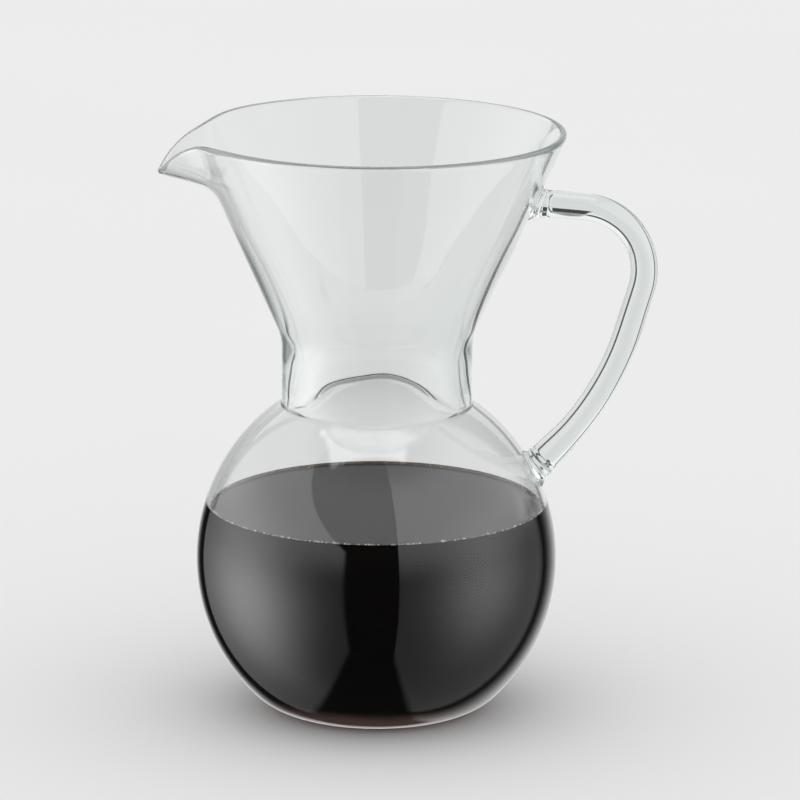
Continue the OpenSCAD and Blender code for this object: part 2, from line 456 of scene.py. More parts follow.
@dataclass
class Vessel:
    """The blown wall, open underneath: bulb, waist, funnel and folded rim. Sizes are in metres."""

    height: float
    rim_r: float
    bulb_r: float = 65 * MM
    bulb_arc_r: float = 69.2 * MM
    belly_z: float = 55 * MM
    base_edge_r: float = 22 * MM
    bulb_wall: float = 2 * MM
    base_wall: float = 4.2 * MM
    waist_r: float = 34.2 * MM
    waist_h: float = 24.3 * MM
    waist_wall: float = 4.2 * MM
    funnel_wall: float = 2.4 * MM
    lip_len: float = 1.5 * MM
    waist_end_wall: float = 2.5 * MM
    throat_wall: float = 3.7 * MM
    throat_rise: float = 4 * MM
    throat_end_rise: float = 44 * MM
    throat_ease: float = 2.6 * MM
    spout_fold: float = 26.6 * MM
    spout_bend: float = math.radians(52.4)
    spout_turn_len: float = 9.6 * MM
    spout_spread: float = math.radians(12)
    spout_fullness: float = 2.3
    rim_dip: float = 1.9 * MM
    rim_dip_at: float = math.radians(13)
    rim_dip_spread: float = math.radians(16)
    shoulder_cut: float = 0.7 * MM
    waist_top_cut: float = 4.5 * MM
    inner_cut: float = 1.2 * MM
    waist_top_steps: int = 12
    wave: float = 0.16 * MM
    waves: Waves = ((3, 1.0, 0.9), (5, 0.7, 2.0), (8, 0.4, 0.0))
    wave_fade: float = 6 * MM
    turns: int = 320
    arc_step: float = math.radians(2)
    line_step: float = 4 * MM
    neck_step: float = 2 * MM
    fold_step: float = 1.2 * MM
    fold_lead: int = 3
    least_bend: float = 1e-6
    lip_step: float = math.radians(7.5)
    flare_rounds: int = 6
    straight_after: float = 30.0

    def __post_init__(self) -> None:
        """Work out the places that follow from the sizes."""
        self.arc_centre = (self.bulb_r - self.bulb_arc_r, self.belly_z)
        self.shoulder_z = self.arc_z(self.bulb_arc_r, self.waist_r)
        self.waist_top = (self.waist_r, self.shoulder_z + self.waist_h)
        self.flare = math.atan2(self.rim_r - self.waist_r, self.height - self.waist_top[1])
        for _ in range(self.flare_rounds):
            self.lip_at = self.place_lip()
            run = self.lip_at - Vector(self.waist_top)
            self.flare = math.atan2(run.x, run.y) + math.asin(self.funnel_wall / 2 / run.length)
        self.along = Vector((math.sin(self.flare), math.cos(self.flare)))
        self.outward = Vector((math.cos(self.flare), -math.sin(self.flare)))
        self.fold_at = self.lip_at + self.along * (self.lip_len - self.spout_fold)

    def place_lip(self) -> Vector:
        """Give the place where the lip starts to taper, so that its edge meets the height and the rim."""
        half = self.funnel_wall / 2
        out = math.hypot(self.lip_len * math.sin(self.flare), half * math.cos(self.flare))
        up = math.hypot(self.lip_len * math.cos(self.flare), half * math.sin(self.flare))
        return Vector((self.rim_r - out, self.height - up))

    def lip(self) -> list[Point]:
        """Trace the tapered lip, over its edge from the outer face to the inner one."""
        count = round(math.pi / self.lip_step)
        points = []
        for index in range(count + 1):
            angle = math.pi / 2 - math.pi * index / count
            side = self.outward * (self.funnel_wall / 2 * math.sin(angle))
            points.append(tuple(self.lip_at + side + self.along * (self.lip_len * math.cos(angle))))
        return points

    def arc_z(self, arc_r: float, radius: float) -> float:
        """Give the height above the belly at which a side arc has a radius."""
        return self.belly_z + math.sqrt(arc_r**2 - (radius - self.arc_centre[0]) ** 2)

    def outer_radius(self, z: float) -> float:
        """Give the outer radius of the bulb, waist or funnel at a height."""
        if z >= self.waist_top[1]:
            return self.waist_r + (z - self.waist_top[1]) * math.tan(self.flare)
        if z >= self.shoulder_z:
            return self.waist_r
        return self.arc_centre[0] + math.sqrt(self.bulb_arc_r**2 - (z - self.belly_z) ** 2)

    def bulb_line(self, arc_r: float, edge_r: float, floor_z: float, top_r: float) -> list[Point]:
        """Trace a bulb in section from its floor to the waist.

        Args:
            arc_r: Radius of its side arc.
            edge_r: Radius of its rounded base edge.
            floor_z: Height of its floor.
            top_r: Radius at which the side arc ends.

        Returns:
            Points from the outer end of the flat floor up to the waist.
        """
        rise = floor_z + edge_r - self.belly_z
        edge_x = self.arc_centre[0] + math.sqrt((arc_r - edge_r) ** 2 - rise**2)
        touch = math.atan2(rise, edge_x - self.arc_centre[0])
        top = math.asin((self.arc_z(arc_r, top_r) - self.belly_z) / arc_r)
        edge = arc_points((edge_x, floor_z + edge_r), edge_r, -math.pi / 2, touch, 2 * self.arc_step)
        return edge + arc_points(self.arc_centre, arc_r, touch, top, self.arc_step)[1:]

    def neck_wall(self, z: float) -> float:
        """Give the level thickness of the wall at a height in the waist or the funnel."""
        rise = z - self.waist_top[1]
        middle = self.waist_top[1] - self.waist_h / 2
        from_middle = (z - middle) / (self.waist_h / 2)
        waist = self.waist_wall - (self.waist_wall - self.waist_end_wall) * min(from_middle, 0.0) ** 2
        into_throat = smooth_step(-self.waist_h / 2, self.throat_rise, rise)
        thick = waist + (self.throat_wall - self.waist_wall) * into_throat
        funnel = self.funnel_wall / math.cos(self.flare)
        return thick + (funnel - thick) * smooth_step(self.throat_rise, self.throat_end_rise, rise)

    def eased_radius(self, z: float) -> float:
        """Give the outer radius of the waist or the funnel at a height, with their corner eased."""
        lean = (z - self.waist_top[1]) / self.throat_ease
        if lean < self.straight_after:
            lean = math.log1p(math.exp(lean))
        eased = self.throat_ease * lean
        return self.waist_r + eased * math.tan(self.flare)

    def inner_line(self) -> list[Point]:
        """Trace the inner face from the middle of the floor up to the waist's lower corner."""
        inner_r = self.waist_r - self.waist_end_wall
        arc_r = self.bulb_arc_r - self.bulb_wall
        edge_r = self.base_edge_r - self.bulb_wall
        bulb = self.bulb_line(arc_r, edge_r, self.base_wall, inner_r)
        return line_points((0.0, self.base_wall), bulb[0], 2 * self.line_step)[:-1] + bulb

    def neck_line(self, start: float, end: float) -> list[Point]:
        """Trace the inner face from the waist's lower corner up to the lip.

        Args:
            start: Height of the corner.
            end: Height at which the lip begins.

        Returns:
            The points, without those of the lip.
        """
        fold_z = self.fold_at[1] - self.fold_lead * self.fold_step
        heights, z = [], start
        while z < end - self.fold_step / 2:
            heights.append(z)
            z += self.fold_step if z > fold_z else self.neck_step
        return [(self.eased_radius(z) - self.neck_wall(z), z) for z in heights]

    def outline(self) -> list[Point]:
        """Trace the section from the standing face over the lip to the floor, without an underside."""
        bulb = self.bulb_line(self.bulb_arc_r, self.base_edge_r, 0.0, self.waist_r)
        waist = line_points(bulb[-1], self.waist_top, self.line_step)
        wall = round_corner(bulb, waist, self.shoulder_cut)
        lip = self.lip()
        fold_out = self.fold_at + self.outward * self.funnel_wall / 2
        fold_out -= self.along * self.fold_lead * self.fold_step
        low = line_points(self.waist_top, tuple(fold_out), self.line_step)
        high = line_points(tuple(fold_out), lip[0], self.fold_step)
        wall = round_corner(wall, low, self.waist_top_cut, self.waist_top_steps)
        bowl = self.inner_line()
        neck = self.neck_line(bowl[-1][1], lip[-1][1])
        inner = round_corner(bowl, [bowl[-1]] + neck[1:], self.inner_cut)
        return wall + high[1:] + lip[1:] + list(reversed(inner))

    def fold(self, point: Vector) -> Vector:
        """Move a point of the round wall to where the folded spout has it.

        Args:
            point: A point of the round wall.

        Returns:
            Its place on the finished wall.
        """
        radius, around = math.hypot(point.x, point.y), math.atan2(point.y, -point.x)
        place = Vector((radius, point.z)) - self.fold_at
        run, side = place.dot(self.along), place.dot(self.outward)
        if run <= 0 or radius < self.waist_r:
            return point
        beside = (abs(around) - self.rim_dip_at) / self.rim_dip_spread
        run *= 1 - self.rim_dip * math.exp(-(beside**2)) / self.spout_fold
        share = math.exp(-(abs(around / self.spout_spread) ** self.spout_fullness))
        bend = max(self.spout_bend * share, self.least_bend)
        turn = bend * min(run / self.spout_turn_len, 1.0)
        turn_r = self.spout_turn_len / bend
        slope = self.flare + turn
        line = self.fold_at + turn_r * Vector(
            (math.cos(self.flare) - math.cos(slope), math.sin(slope) - math.sin(self.flare))
        )
        line += max(run - self.spout_turn_len, 0.0) * Vector((math.sin(slope), math.cos(slope)))
        line += side * Vector((math.cos(slope), -math.sin(slope)))
        return Vector((-line.x * math.cos(around), line.x * math.sin(around), line.y))

    def ripple(self, point: Vector) -> Vector:
        """Move a point of the inner wall in or out by the unevenness of the thick glass at the throat.

        Args:
            point: A point of the wall.

        Returns:
            Its uneven place.
        """
        radius, around = math.hypot(point.x, point.y), math.atan2(point.y, point.x)
        top = self.waist_top[1]
        window = smooth_step(self.shoulder_z, top, point.z)
        fade_end = top + self.throat_end_rise + self.wave_fade
        window *= 1 - smooth_step(top + self.throat_rise, fade_end, point.z)
        inside = radius < self.outer_radius(point.z) - self.funnel_wall / 2
        if not inside or window <= 0:
            return point
        wave = sum(share * math.sin(count * around + phase) for count, share, phase in self.waves)
        factor = 1 + self.wave * window * wave / radius
        return Vector((point.x * factor, point.y * factor, point.z))

    def build(self, glass: Material) -> bpy.types.Object:
        """Make the vessel.

        Args:
            glass: Its material.

        Returns:
            The finished piece, which stands for the CAD vessel.
        """
        bm = lathe(self.outline(), self.turns)
        for vert in bm.verts:
            vert.co = self.fold(self.ripple(vert.co))
        piece = new_object("vessel_glass", bm, [glass])
        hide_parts("vessel")
        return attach(piece, BODY)


@dataclass
class RodHandle:
    """The bent glass rod and the two lumps of glass that weld it on. Sizes are in metres."""

    vessel: Vessel
    rod_r: float = 4.9 * MM
    foot_rod_r: float = 5.5 * MM
    upper_weld_drop: float = 26 * MM
    lower_weld_angle: float = math.radians(28.8)
    arm_fall: float = math.radians(5)
    bend_r: float = 23.2 * MM
    bend_turn: float = math.radians(101.5)
    foot_r: float = 104 * MM
    foot_turn: float = math.radians(27.4)
    foot_len: float = 12.7 * MM
    weld_len: float = 4.6 * MM
    upper_foot_r: float = 6.6 * MM
    lower_foot_r: float = 7.0 * MM
    weld_toe: tuple[Point, ...] = ((0.10 * MM, 0.05), (-0.35 * MM, 0.15))
    weld_middle: Point = (0.45, 0.27)
    weld_collar: tuple[Point, ...] = (
        (0.32 * MM, 0.40),
        (0.12 * MM, 0.52),
        (0.30 * MM, 0.66),
        (0.42 * MM, 0.76),
        (0.30 * MM, 0.87),
        (0.05 * MM, 0.96),
    )
    weld_foot_step: float = 0.8 * MM
    weld_end_step: float = 1.2 * MM
    swell_len: float = 16 * MM
    drawn_waves: Waves = ((0.012, 9 * MM, 0.0), (0.008, 3.7 * MM, 1.0))
    seat_reach: float = 12 * MM
    seat_rounds: int = 40
    joint_gap: float = 0.02 * MM
    sides: int = 64
    step: float = 1.5 * MM

    def __post_init__(self) -> None:
        """Work out where the rod starts and ends, and how long its two straight lengths are."""
        z = self.vessel.height - self.upper_weld_drop
        self.start = Vector((self.vessel.outer_radius(z), z))
        arc = Vector((math.cos(self.lower_weld_angle), math.sin(self.lower_weld_angle)))
        self.end = Vector(self.vessel.arc_centre) + self.vessel.bulb_arc_r * arc
        self.arm_heading = -self.arm_fall
        self.leg_heading = self.arm_heading - self.bend_turn
        self.foot_heading = self.leg_heading - self.foot_turn
        arm, leg = self.direction(self.arm_heading), self.direction(self.leg_heading)
        rest = self.end - self.start - self.foot_len * self.direction(self.foot_heading)
        rest -= self.turn_step(self.arm_heading, self.bend_r, self.bend_turn)
        rest -= self.turn_step(self.leg_heading, self.foot_r, self.foot_turn)
        cross = arm.x * leg.y - arm.y * leg.x
        self.arm_len = (rest.x * leg.y - rest.y * leg.x) / cross
        self.leg_len = (arm.x * rest.y - arm.y * rest.x) / cross

    @staticmethod
    def direction(heading: float) -> Vector:
        """Give the direction of a heading in the plane of the handle."""
        return Vector((math.cos(heading), math.sin(heading)))

    def turn_step(self, heading: float, turn_r: float, turn: float) -> Vector:
        """Give the step from the start to the end of a turn to the right."""
        right = math.pi / 2
        return turn_r * (self.direction(heading - right) + self.direction(heading + right - turn))

    def moves(self) -> list[tuple[float, float]]:
        """List the short moves of the rod's middle line, as a length and a turn to the right each."""
        runs = [
            (self.arm_len - self.weld_len, 0.0),
            (self.bend_r * self.bend_turn, self.bend_turn),
            (self.leg_len, 0.0),
            (self.foot_r * self.foot_turn, self.foot_turn),
            (self.foot_len - self.weld_len, 0.0),
        ]
        steps = []
        for length, turn in runs:
            count = math.ceil(length / self.step)
            steps += [(length / count, turn / count)] * count
        return steps

    def thickness(self, left: float, gone: float) -> float:
        """Give the rod's radius by its distance from the lower and the upper weld."""
        swell = smooth_step(self.swell_len, 0.0, left)
        drawn = sum(share * math.sin(gone / length + phase) for share, length, phase in self.drawn_waves)
        return (self.rod_r + (self.foot_rod_r - self.rod_r) * swell) * (1 + drawn * (1 - swell))

    def build_rod(self, glass: Material) -> bpy.types.Object:
        """Make the rod between its two welds.

        Args:
            glass: Its material.

        Returns:
            The finished piece, which stands for the CAD handle.
        """
        bm = bmesh.new()
        place = self.start + self.direction(self.arm_heading) * (self.weld_len + self.joint_gap)
        heading = self.arm_heading
        steps = self.moves()
        total, gone = sum(length for length, _ in steps), 0.0
        ring = bmesh.ops.create_circle(bm, segments=self.sides, radius=1.0)["verts"]
        edges = list(bm.edges)
        pose = self.pose(place, heading, self.thickness(total, gone))
        bmesh.ops.transform(bm, matrix=pose, verts=ring)
        for length, turn in steps:
            chord = heading - turn / 2
            step = length * (math.sin(turn / 2) / (turn / 2) if turn else 1.0)
            place, heading, gone = place + step * self.direction(chord), heading - turn, gone + length
            grown = bmesh.ops.extrude_edge_only(bm, edges=edges)["geom"]
            ring = [g for g in grown if isinstance(g, bmesh.types.BMVert)]
            lines = [g for g in grown if isinstance(g, bmesh.types.BMEdge)]
            edges = [line for line in lines if all(v in ring for v in line.verts)]
            before = pose
            pose = self.pose(place, heading, self.thickness(total - gone, gone))
            bmesh.ops.transform(bm, matrix=pose @ before.inverted(), verts=ring)
        bmesh.ops.holes_fill(bm, edges=bm.edges, sides=0)
        bmesh.ops.recalc_face_normals(bm, faces=bm.faces)
        piece = new_object("handle_rod", bm, [glass])
        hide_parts("handle")
        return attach(piece, BODY)

    @staticmethod
    def pose(place: Vector, heading: float, radius: float) -> Matrix:
        """Give the matrix that sets a unit ring across the rod at a place and heading."""
        turn = Matrix.Rotation(math.pi / 2 - heading, 4, "Y")
        return Matrix.Translation((place.x, 0, place.y)) @ turn @ Matrix.Diagonal((radius, radius, 1, 1))

    def weld_outline(self, foot_r: float, rod_r: float) -> list[Point]:
        """Trace a weld in section, from the middle of its foot round to the middle of the rod's end."""
        length = self.weld_len
        foot = line_points((0.0, 0.0), (foot_r, 0.0), self.weld_foot_step)
        toe = [(foot_r + out, share * length) for out, share in self.weld_toe]
        foot_share, along = self.weld_middle
        middle = (foot_share * foot_r + (1 - foot_share) * rod_r, along * length)
        collar = [(rod_r + out, share * length) for out, share in self.weld_collar]
        end = line_points((rod_r, length), (0.0, length), self.weld_end_step)
        return foot + toe + [middle] + collar + end

    def build_weld(
        self, node: str, at: Vector, heading: float, foot_r: float, rod_r: float, glass: Material
    ) -> bpy.types.Object:
        """Make one weld, with its foot lying on the outer face of the vessel.

        Args:
            node: CAD node that it stands for.
            at: Where the middle of the rod meets the vessel.
            heading: Heading of the rod away from the vessel.
            foot_r: Radius of the weld's foot.
            rod_r: Radius of the rod at the weld.
            glass: Its material.

        Returns:
            The finished piece.
        """
        bm = lathe(self.weld_outline(foot_r, rod_r), self.sides)
        place = self.pose(at, heading, 1.0)
        for vert in bm.verts:
            seat = self.seat(place, vert.co.x, vert.co.y)
            vert.co.z = seat + (self.weld_len - seat) * vert.co.z / self.weld_len
        bmesh.ops.transform(bm, matrix=place, verts=bm.verts)
        piece = new_object(node + "_glass", bm, [glass])
        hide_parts(node)
        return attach(piece, BODY)

    def seat(self, place: Matrix, x: float, y: float) -> float:
        """Find how far along the rod a line beside its middle meets the outer face of the vessel.

        Args:
            place: Matrix that sets the weld in place.
            x: Distance of the line from the middle of the rod, in the plane of the handle.
            y: Distance across that plane.

        Returns:
            The distance, with the joint's gap added.
        """
        low, high = -self.seat_reach, self.seat_reach
        for _ in range(self.seat_rounds):
            middle = (low + high) / 2
            point = place @ Vector((x, y, middle))
            inside = math.hypot(point.x, point.y) < self.vessel.outer_radius(point.z)
            low, high = (middle, high) if inside else (low, middle)
        return high + self.joint_gap

    def build(self, rod_glass: Material, weld_glass: Material) -> list[bpy.types.Object]:
        """Make the rod and both welds.

        Args:
            rod_glass: Material of the rod.
            weld_glass: Material of the welds.

        Returns:
            The three pieces.
        """
        rod = self.build_rod(rod_glass)
        welds = (
            ("upper_weld", self.start, self.arm_heading, self.upper_foot_r, self.rod_r),
            ("lower_weld", self.end, self.foot_heading + math.pi, self.lower_foot_r, self.foot_rod_r),
        )
        return [rod] + [self.build_weld(*weld, weld_glass) for weld in welds]


@dataclass
class Coffee:
    """The coffee in the bulb, with its climbing edge, and the bubbles along it. Sizes are in metres."""

    vessel: Vessel
    level: float
    overlap: float = 0.08 * MM
    climb: float = 0.8 * MM
    climb_width: float = 1.1 * MM
    turns: int = 192
    bubbles: int = 380
    bubble_r: Point = (0.18 * MM, 0.36 * MM)
    bubble_inset: Point = (0.9, 0.3)
    bubble_lift: Point = (0.5, 0.5)
    far_side: float = 0.5
    far_share: float = 0.5
    froth: int = 220
    froth_at: tuple[float, ...] = (62, 78, 95, 112, 128)
    froth_spread: float = math.radians(6)
    froth_r: Point = (0.14 * MM, 0.26 * MM)
    froth_inward: float = 0.7 * MM
    froth_lift: float = 0.3
    edge_gap: float = 0.4 * MM
    edge_reach: float = 5.0
    edge_steps: int = 14
    line_step: float = 4 * MM
    level_normal: float = 0.05
    seed: int = 11

    def __post_init__(self) -> None:
        """Find the radius at which the coffee meets the glass."""
        self.wall_r = self.inner_radius(self.level + self.climb)

    def inner_radius(self, z: float) -> float:
        """Give the radius of the inside of the bulb at a height."""
        arc_r = self.vessel.bulb_arc_r - self.vessel.bulb_wall
        return self.vessel.arc_centre[0] + math.sqrt(arc_r**2 - (z - self.vessel.belly_z) ** 2)

    def surface_z(self, radius: float) -> float:
        """Give the height of the coffee's surface at a distance from the axis."""
        return self.level + self.climb * math.exp((radius - self.wall_r) / self.climb_width)

    def outline(self) -> list[Point]:
        """Trace the coffee in section, from the middle of the floor round to the middle of its surface."""
        top = self.level + self.climb
        wall = [p for p in self.vessel.inner_line() if p[1] < top - self.edge_gap]
        side = []
        for (r, z), (nr, nz) in zip(wall, wall[1:] + [(self.wall_r, top)]):
            run = math.hypot(nr - r, nz - z)
            side.append((r + self.overlap * (nz - z) / run, z - self.overlap * (nr - r) / run))
        side[0] = (0.0, side[0][1])
        reach = self.climb_width * self.edge_reach
        edge = [self.wall_r - reach * (i / self.edge_steps) ** 2 for i in range(self.edge_steps + 1)]
        lip = [(self.wall_r + self.overlap, top)]
        surface = [(r, self.surface_z(r)) for r in edge]
        flat = line_points(surface[-1], (0.0, self.surface_z(0.0)), self.line_step)
        return side + lip + surface + flat[1:]

    def build_body(self, behind: Material, surface: Material) -> bpy.types.Object:
        """Make the coffee.

        Args:
            behind: Material of the coffee against the glass.
            surface: Material of its top.

        Returns:
            The finished piece, which stands for the CAD coffee.
        """
        bm = lathe(self.outline(), self.turns)
        for face in bm.faces:
            inside = face.calc_center_median().xy.length < self.wall_r + self.overlap / 2
            face.material_index = int(face.normal.z > self.level_normal and inside)
        piece = new_object("coffee_fill", bm, [behind, surface])
        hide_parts("coffee")
        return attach(piece, BODY)

    def bead(self, bm: bmesh.types.BMesh, around: float, radius: float, size: float, lift: float) -> None:
        """Add one bubble.

        Args:
            bm: Mesh that the bubble joins.
            around: Its angle about the axis.
            radius: Its distance from the axis.
            size: Its radius.
            lift: Its height above the coffee's surface, as a share of its radius.
        """
        z = self.surface_z(min(radius, self.wall_r)) + size * lift
        spot = Matrix.Translation((radius * math.cos(around), radius * math.sin(around), z))
        ball = bmesh.new()
        bmesh.ops.create_uvsphere(ball, u_segments=8, v_segments=6, radius=size, matrix=spot)
        shell = bpy.data.meshes.new("bubble")
        ball.to_mesh(shell)
        ball.free()
        bm.from_mesh(shell)
        bpy.data.meshes.remove(shell)

    def build_bubbles(self, foam: Material) -> bpy.types.Object:
        """Make the ring of small bubbles along the edge of the coffee.

        Args:
            foam: Its material.

        Returns:
            The finished piece.
        """
        rng = random.Random(self.seed)
        bm = bmesh.new()
        around = 0.0
        for _ in range(self.bubbles):
            around += rng.expovariate(self.bubbles / FULL_TURN)
            size = self.bubble_r[0] + self.bubble_r[1] * rng.random() ** 3
            if math.sin(around) > self.far_side:
                size *= self.far_share
            inset = self.bubble_inset[0] + self.bubble_inset[1] * rng.random()
            lift = self.bubble_lift[0] + self.bubble_lift[1] * rng.random()
            self.bead(bm, around, self.wall_r - size * inset, size, lift)
        piece = new_object("edge_bubbles", bm, [foam])
        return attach(piece, BODY)

    def build_froth(self, foam: Material) -> bpy.types.Object:
        """Make the brown froth that clings to the glass in a few places.

        Args:
            foam: Its material.

        Returns:
            The finished piece.
        """
        rng = random.Random(self.seed + 1)
        bm = bmesh.new()
        middles = [math.radians(angle) for angle in self.froth_at]
        for _ in range(self.froth):
            around = rng.choice(middles) + rng.gauss(0, self.froth_spread)
            size = self.froth_r[0] + self.froth_r[1] * rng.random() ** 2
            inward = abs(rng.gauss(0, self.froth_inward))
            self.bead(bm, around, self.wall_r - size - inward, size, self.froth_lift)
        piece = new_object("back_froth", bm, [foam])
        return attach(piece, BODY)


@dataclass(frozen=True)
class SidePanel:
    """A bright panel at one side of the light tent. Angles are in degrees."""

    edges: Point
    softness: Point
    glow_at: Point
    glow_spread: Point
    level: float
    glow_level: float


@dataclass
class LightTent:
    """The light: a pale tent with bright panels and dark gaps.

    Its angles are in degrees, the turn from the camera to the right, apart from the camera's own rise.
    Its other edges are parts of a ray's direction.
    """

    shader: Shader
    camera_rise: float
    tent_level: float = 1.04
    least_light: float = 0.02
    right_panel: SidePanel = SidePanel(
        edges=(14.5, 131),
        softness=(1, 10),
        glow_at=(71, -9),
        glow_spread=(29, 28),
        level=0.4,
        glow_level=2.2,
    )
    left_panel: SidePanel = SidePanel(
        edges=(-145, -20.5),
        softness=(3, 4),
        glow_at=(-86, -16),
        glow_spread=(33, 30),
        level=0.3,
        glow_level=4.4,
    )
    panel_rise: Point = (-5, 20)
    panel_gain: float = 1.3
    panel_fade: Point = (45, 75)
    panel_faded: float = 0.2
    lean_from: float = 15
    lean: float = 1.4
    backdrop_right: Point = (134, 162)
    backdrop_left: Point = (-174, -152)
    backdrop_foot: Point = (-9, -7)
    backdrop_levels: Point = (0.9, 0.75)
    near_gap: Point = (-0.22, 0.36)
    near_softness: Point = (0.07, 0.07)
    near_rise: Point = (-50, -42)
    least_fall: float = -0.1
    roof_across: Point = (-0.44, 0.28)
    roof_along: Point = (-0.26, 0.28)
    roof_softness: Point = (0.06, 0.06)
    roof_above: Point = (0.6, 0.8)
    roof_level: float = 2.3
    gap_softness: Point = (2, 2)
    gap_right: Point = (125, 131)
    gap_right_share: float = 0.45
    gap_left: Point = (-147, -141)
    gap_ring: Point = (24, 31)
    gap_ring_side: Point = (0.05, 0.12)
    gap_ring_share: float = 0.9
    gap_level: float = 0.06
    card_across: Point = (-0.12, 0.08)
    card_softness: Point = (0.02, 0.02)
    card_behind: Point = (0.0, 0.1)
    card_rise: Point = (-1.5, 35)
    card_rise_softness: Point = (1, 2)
    stripe_rise: Point = (10, 18)
    stripe_softness: Point = (1, 1)
    stripe_level: float = 0.3
    card_level: float = 0.04
    wall_rise: Point = (2, 8)
    wall_levels: Point = (0.72, 0.95)
    wall_fade: Point = (45, 65)
    wall_faded: float = 0.55

    def __post_init__(self) -> None:
        """Add the nodes for the direction of a ray and for its turn and rise."""
        way = self.shader.add("TexCoord").outputs["Generated"]
        self.x, self.y, self.z = self.shader.add("SeparateXYZ", Vector=way).outputs
        toward = self.shader.math("MULTIPLY", self.y, -1.0)
        self.turn = self.shader.math("ARCTAN2", self.x, toward)
        self.rise = self.shader.math("ARCSINE", self.z)

    def between(self, value: Socket, edges: Point, softness: Point) -> Socket:
        """Make a share that is 1 between two edges and eases to 0 beyond them.

        Args:
            value: Value that is tested.
            edges: The two edges.
            softness: Width over which the share eases at each edge.

        Returns:
            The share.
        """
        (start, end), (soft_start, soft_end) = edges, softness
        rise = self.shader.ease(value, start - soft_start / 2, start + soft_start / 2)
        fall = self.shader.ease(value, end - soft_end / 2, end + soft_end / 2, 1.0, 0.0)
        return self.shader.math("MULTIPLY", rise, fall)

    def band(self, angle: Socket, edges: Point, softness: Point) -> Socket:
        """Make a share that is 1 between two angles, with edges and softness in degrees."""
        start, end, soft_start, soft_end = map(math.radians, (*edges, *softness))
        return self.between(angle, (start, end), (soft_start, soft_end))

    def glow(self, at: Point, spread: Point) -> Socket:
        """Make a share that is 1 at a place in the tent and dies away around it.

        Args:
            at: Turn and rise of the place, in degrees.
            spread: Width and height of the glow, in degrees.

        Returns:
            The share.
        """
        shares = []
        for value, middle, width in zip((self.turn, self.rise), at, spread):
            off = self.shader.math("SUBTRACT", value, math.radians(middle))
            off = self.shader.math("DIVIDE", off, math.radians(width))
            shares.append(self.shader.math("MULTIPLY", off, off))
        away = self.shader.math("ADD", *shares)
        return self.shader.math("EXPONENT", self.shader.math("MULTIPLY", away, -1.0))

    def backdrop(self) -> Socket:
        """Make a share that is 1 in the backdrop's part of the tent."""
        right = self.shader.ease_angle(self.turn, self.backdrop_right)
        left = self.shader.ease_angle(self.turn, self.backdrop_left, 1.0, 0.0)
        return self.shader.math("ADD", right, left)

    def panel(self, panel: SidePanel, edge_turn: Socket) -> Socket:
        """Give the brightness of a side panel: a plain level, more of it above, and a glow.

        Args:
            panel: The panel.
            edge_turn: Turn by which the panel's edges are found.

        Returns:
            The brightness, which is 0 beyond the edges.
        """
        high = panel.level + self.panel_gain
        level = self.shader.ease_angle(self.rise, self.panel_rise, panel.level, high)
        glow = self.glow(panel.glow_at, panel.glow_spread)
        lit = self.shader.math("ADD", level, self.shader.math("MULTIPLY", glow, panel.glow_level))
        return self.shader.math("MULTIPLY", lit, self.band(edge_turn, panel.edges, panel.softness))

    def mirror_light(self) -> Socket:
        """Give the brightness that reflections see: side panels, roof and backdrop, with dark gaps."""
        right = self.panel(self.right_panel, self.turn)
        above = self.shader.math("SUBTRACT", self.rise, math.radians(self.lean_from))
        above = self.shader.math("MAXIMUM", above, 0.0)
        leaning = self.shader.math("MULTIPLY_ADD", above, self.lean, self.turn)
        left = self.panel(self.left_panel, leaning)
        sideways = self.shader.math("DIVIDE", self.x, self.shader.math("MINIMUM", self.z, self.least_fall))
        near = self.between(sideways, self.near_gap, self.near_softness)
        below = self.shader.ease_angle(self.rise, self.near_rise, 1.0, 0.0)
        low = self.shader.math("SUBTRACT", 1.0, self.shader.math("MULTIPLY", near, below))
        high = self.shader.ease_angle(self.rise, self.panel_fade, 1.0, self.panel_faded)
        sides = self.shader.math("MULTIPLY", self.shader.math("ADD", right, left), high)
        foot = self.shader.ease_angle(self.rise, self.backdrop_foot, *self.backdrop_levels)
        back = self.shader.math("MULTIPLY", self.backdrop(), foot)
        seen = self.shader.math("MULTIPLY", self.shader.math("ADD", sides, back), low)
        return self.shader.math("ADD", self.shader.math("ADD", seen, self.roof()), self.least_light)

    def roof(self) -> Socket:
        """Give the brightness of the panel above the object."""
        across = self.between(self.x, self.roof_across, self.roof_softness)
        along = self.between(self.y, self.roof_along, self.roof_softness)
        above = self.shader.ease(self.z, *self.roof_above, 0.0, self.roof_level)
        return self.shader.math("MULTIPLY", self.shader.math("MULTIPLY", across, along), above)

